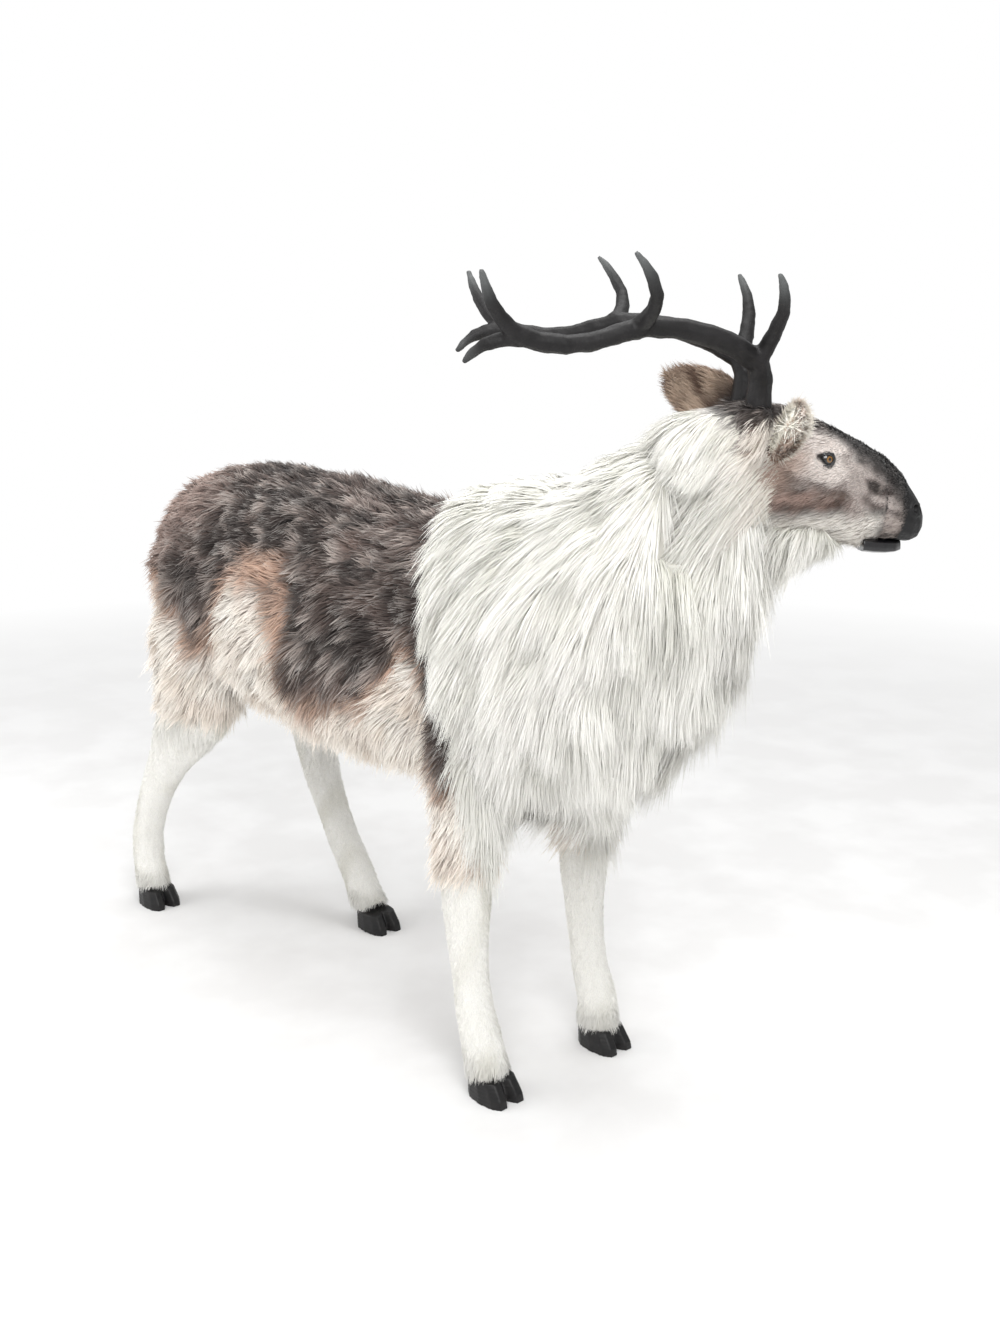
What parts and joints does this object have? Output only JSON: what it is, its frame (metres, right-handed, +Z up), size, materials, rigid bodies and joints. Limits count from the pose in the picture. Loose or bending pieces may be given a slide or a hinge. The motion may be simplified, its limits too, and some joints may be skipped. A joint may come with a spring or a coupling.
{
  "type": "display reindeer",
  "caption": "Life-size standing furry display reindeer on a steel frame, with a head that turns by hand, wired ears and lift-off antlers.",
  "frame": {"origin": "centre of the bounding box at floor level, under the hooves", "axes": "+X to the animal's front, along its body, +Y to its left, +Z up"},
  "size_m": [1.917, 0.73, 1.5411],
  "materials": {
    "steel": "welded mild steel, satin",
    "zinc": "zinc-plated fasteners",
    "foam": "carved upholstery foam, matt",
    "nylon": "natural nylon",
    "coat": "medium-pile faux fur, grizzled dark brown with tan edges and cream belly",
    "mane": "long-pile faux fur, cream-white",
    "velvet": "short velvet pile, off-white",
    "face": "short-pile faux fur, airbrushed brown, cream round the eye",
    "ear": "short fuzzy pile, tan-brown",
    "lining": "fluffy cream pile",
    "hoof": "satin black cast resin",
    "antler": "satin black cast resin, slightly grainy, greyer tips",
    "muzzle": "moulded black, semi-gloss",
    "eye": "clear gloss over an amber-brown iris"
  },
  "bodies": {
    "torso": {"coat_cover": "coat", "groin_pouch": "velvet", "hoof_bolt_front_left": "zinc", "hoof_bolt_front_right": "zinc", "hoof_bolt_hind_left": "zinc", "hoof_bolt_hind_right": "zinc", "hoof_front_left": "hoof", "hoof_front_right": "hoof", "hoof_hind_left": "hoof", "hoof_hind_right": "hoof", "leg_form_front_left": "foam", "leg_form_front_right": "foam", "leg_form_hind_left": "foam", "leg_form_hind_right": "foam", "leg_rod_front_left": "steel", "leg_rod_front_right": "steel", "leg_rod_hind_left": "steel", "leg_rod_hind_right": "steel", "leg_sleeve_front_left": "velvet", "leg_sleeve_front_right": "velvet", "leg_sleeve_hind_left": "velvet", "leg_sleeve_hind_right": "velvet", "mane_cover": "mane", "neck_form": "foam", "neck_tube": "steel", "neck_tube_bolt": "zinc", "neck_tube_nut": "zinc", "spine_frame": "steel", "swivel_bush": "nylon", "tail": "coat", "trunk_form_left": "foam", "trunk_form_right": "foam"},
    "head": {"head_stem": "steel", "thrust_washer": "nylon", "skull_form": "foam", "face_cover": "face", "muzzle": "muzzle", "lower_lip": "muzzle", "throat_ruff": "mane", "eye_right": "eye", "eye_left": "eye", "eyelid_right": "muzzle", "eyelid_left": "muzzle", "antler_socket_left": "steel", "antler_socket_right": "steel"},
    "antler_left": {"antler_left": "antler", "antler_peg_left": "steel"},
    "antler_right": {"antler_right": "antler", "antler_peg_right": "steel"},
    "ear_left": {"ear_left": "ear", "ear_lining_left": "lining", "ear_wire_left": "steel"},
    "ear_right": {"ear_right": "ear", "ear_lining_right": "lining", "ear_wire_right": "steel"}
  },
  "joints": [
    {"name": "head_turn", "type": "hinge", "parent": "torso", "child": "head", "pos_m": [0.74306, 0.10732, 1.195], "axis": [0, 0, 1], "range_deg": [-106, 4]},
    {"name": "antler_left_lift", "type": "slide", "parent": "head", "child": "antler_left", "axis": [0, 0, 1], "range_m": [0, 0.042]},
    {"name": "antler_right_lift", "type": "slide", "parent": "head", "child": "antler_right", "axis": [0, 0, 1], "range_m": [0, 0.042]},
    {"name": "ear_left_swing", "type": "hinge", "parent": "head", "child": "ear_left", "pos_m": [0.73259, 0.19687, 1.278], "axis": [0, 0, 1], "range_deg": [-50, 0]},
    {"name": "ear_right_swing", "type": "hinge", "parent": "head", "child": "ear_right", "pos_m": [0.83284, 0.11568, 1.278], "axis": [0, 0, 1], "range_deg": [-45, 5]}
  ]
}
